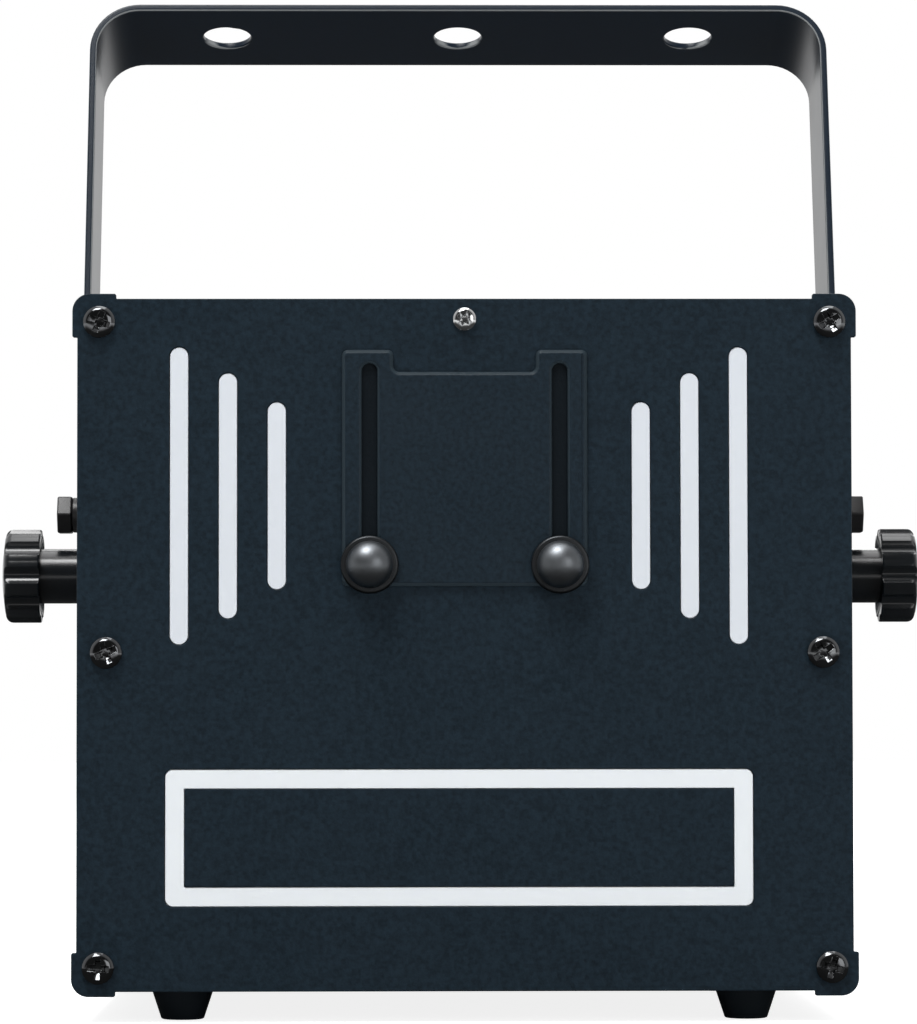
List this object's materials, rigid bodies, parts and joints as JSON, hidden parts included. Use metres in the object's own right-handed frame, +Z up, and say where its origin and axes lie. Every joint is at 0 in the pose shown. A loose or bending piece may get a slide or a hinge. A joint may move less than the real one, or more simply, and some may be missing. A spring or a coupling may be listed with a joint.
{
  "type": "laser show projector",
  "caption": "Box-shaped laser show projector with white light slots, a sliding shutter plate on thumbscrews, a tilting hanging yoke with clamp knobs, rear sockets and a fan.",
  "frame": {"origin": "on the floor plane under the feet, at the middle of the whole object's box", "axes": "+Z up, -Y towards the front panel and the audience, +X to the right as the front is looked at"},
  "size_m": [0.2512, 0.1766, 0.2802],
  "materials": {
    "panel_coat": "fine-texture powder coat",
    "case_coat": "fine-texture powder coat",
    "yoke_coat": "satin powder coat",
    "shutter_coat": "satin powder coat",
    "dark_steel": "blackened steel",
    "bright_steel": "zinc-plated steel",
    "diffuser_white": "opal acrylic",
    "board_white": "white solder mask",
    "led_yellow": "phosphor cast in resin",
    "window_glass": "clear coated glass",
    "retainer_black": "moulded",
    "thumb_gloss": "polished",
    "knob_black": "moulded, semi-gloss",
    "rubber_black": "moulded rubber",
    "deck_aluminium": "machined",
    "diode_brass": "turned",
    "coated_glass": "dichroic coating",
    "scan_mirror": "front-silvered",
    "case_zinc": "zinc-plated sheet",
    "board_green": "solder mask",
    "fan_black": "moulded",
    "guard_chrome": "plated wire",
    "socket_black": "moulded",
    "rocker_black": "moulded",
    "connector_tin": "tinned shell",
    "key_chrome": "plated",
    "display_dark": "smoked acrylic",
    "button_grey": "moulded"
  },
  "bodies": {
    "housing": {"front_panel": "panel_coat", "cover": "case_coat", "base_tray": "case_coat", "rear_panel": "case_coat", "front_panel_screws": "dark_steel", "front_top_screw": "bright_steel", "clinch_nuts": "bright_steel", "case_screws": "dark_steel", "slot_diffusers": "diffuser_white", "frame_diffuser": "diffuser_white", "name_plate": "panel_coat", "led_boards": "board_white", "led_chips": "led_yellow", "aperture_glass": "window_glass", "glass_retainer": "retainer_black", "shutter_nuts": "bright_steel", "rubber_feet": "rubber_black", "foot_screws": "bright_steel", "friction_washers": "rubber_black", "pivot_nut_plates": "bright_steel", "tilt_limit_bolts": "dark_steel", "optical_plate": "deck_aluminium", "plate_standoffs": "bright_steel", "galvo_mount": "deck_aluminium", "galvo_motors": "bright_steel", "laser_block": "deck_aluminium", "laser_diodes": "diode_brass", "laser_heatsink": "deck_aluminium", "dichroic_holders": "deck_aluminium", "dichroic_mirrors": "coated_glass", "power_supply": "case_zinc", "galvo_driver_board": "board_green", "fan_frame": "fan_black", "fan_guard": "guard_chrome", "power_inlet": "socket_black", "socket_pins": "diode_brass", "rocker_frame": "socket_black", "dmx_in_socket": "socket_black", "dmx_out_socket": "socket_black", "dmx_out_insert": "socket_black", "ilda_connector": "connector_tin", "ilda_jack_screws": "bright_steel", "key_switch_body": "key_chrome", "display_window": "display_dark", "control_board": "board_green"},
    "yoke": {"yoke_bracket": "yoke_coat"},
    "shutter": {"shutter_plate": "shutter_coat"},
    "left_thumbscrew": {"thumbscrew_left": "thumb_gloss"},
    "right_thumbscrew": {"thumbscrew_right": "thumb_gloss"},
    "left_knob": {"knob_left": "knob_black"},
    "right_knob": {"knob_right": "knob_black"},
    "x_scanner": {"galvo_x_mirror": "scan_mirror"},
    "y_scanner": {"galvo_y_mirror": "scan_mirror"},
    "fan": {"fan_rotor": "fan_black"},
    "switch": {"rocker": "rocker_black"},
    "key": {"key_barrel": "key_chrome"},
    "button_1": {"menu_button_1": "button_grey"},
    "button_2": {"menu_button_2": "button_grey"},
    "button_3": {"menu_button_3": "button_grey"},
    "button_4": {"menu_button_4": "button_grey"}
  },
  "joints": [
    {"name": "yoke_tilt", "type": "hinge", "parent": "housing", "child": "yoke", "pos_m": [0, 0.00135, 0.1172], "axis": [1, 0, 0], "range_deg": [-20.7, 55.3]},
    {"name": "shutter_slide", "type": "slide", "parent": "housing", "child": "shutter", "axis": [0, 0, -1], "range_m": [0, 0.05]},
    {"name": "left_thumbscrew_turn", "type": "hinge", "parent": "housing", "child": "left_thumbscrew", "pos_m": [-0.02455, -0.08035, 0.1176], "axis": [0, -1, 0], "range_deg": [0, 360]},
    {"name": "right_thumbscrew_turn", "type": "hinge", "parent": "housing", "child": "right_thumbscrew", "pos_m": [0.02455, -0.08035, 0.1176], "axis": [0, -1, 0], "range_deg": [0, 360]},
    {"name": "left_knob_turn", "type": "hinge", "parent": "housing", "child": "left_knob", "pos_m": [-0.104, 0.00135, 0.1172], "axis": [-1, 0, 0], "range_deg": [0, 360]},
    {"name": "right_knob_turn", "type": "hinge", "parent": "housing", "child": "right_knob", "pos_m": [0.104, 0.00135, 0.1172], "axis": [1, 0, 0], "range_deg": [0, 360]},
    {"name": "x_scan", "type": "hinge", "parent": "housing", "child": "x_scanner", "pos_m": [0, -0.04265, 0.131], "axis": [0, 1, 0], "range_deg": [-15, 15]},
    {"name": "y_scan", "type": "hinge", "parent": "housing", "child": "y_scanner", "pos_m": [0, -0.04265, 0.144], "axis": [1, 0, 0], "range_deg": [-15, 15]},
    {"name": "fan_spin", "type": "hinge", "parent": "housing", "child": "fan", "pos_m": [-0.048, 0.07985, 0.12992], "axis": [0, 1, 0], "continuous": true},
    {"name": "switch_tip", "type": "hinge", "parent": "housing", "child": "switch", "pos_m": [-0.05, 0.08055, 0.07404], "axis": [1, 0, 0], "range_deg": [0, 16]},
    {"name": "key_turn", "type": "hinge", "parent": "housing", "child": "key", "pos_m": [-0.006, 0.08135, 0.07404], "axis": [0, 1, 0], "range_deg": [0, 90]},
    {"name": "button_1_press", "type": "slide", "parent": "housing", "child": "button_1", "axis": [0, -1, 0], "range_m": [0, 0.0006], "stiffness_N_per_m": 2500},
    {"name": "button_2_press", "type": "slide", "parent": "housing", "child": "button_2", "axis": [0, -1, 0], "range_m": [0, 0.0006], "stiffness_N_per_m": 2500},
    {"name": "button_3_press", "type": "slide", "parent": "housing", "child": "button_3", "axis": [0, -1, 0], "range_m": [0, 0.0006], "stiffness_N_per_m": 2500},
    {"name": "button_4_press", "type": "slide", "parent": "housing", "child": "button_4", "axis": [0, -1, 0], "range_m": [0, 0.0006], "stiffness_N_per_m": 2500}
  ]
}
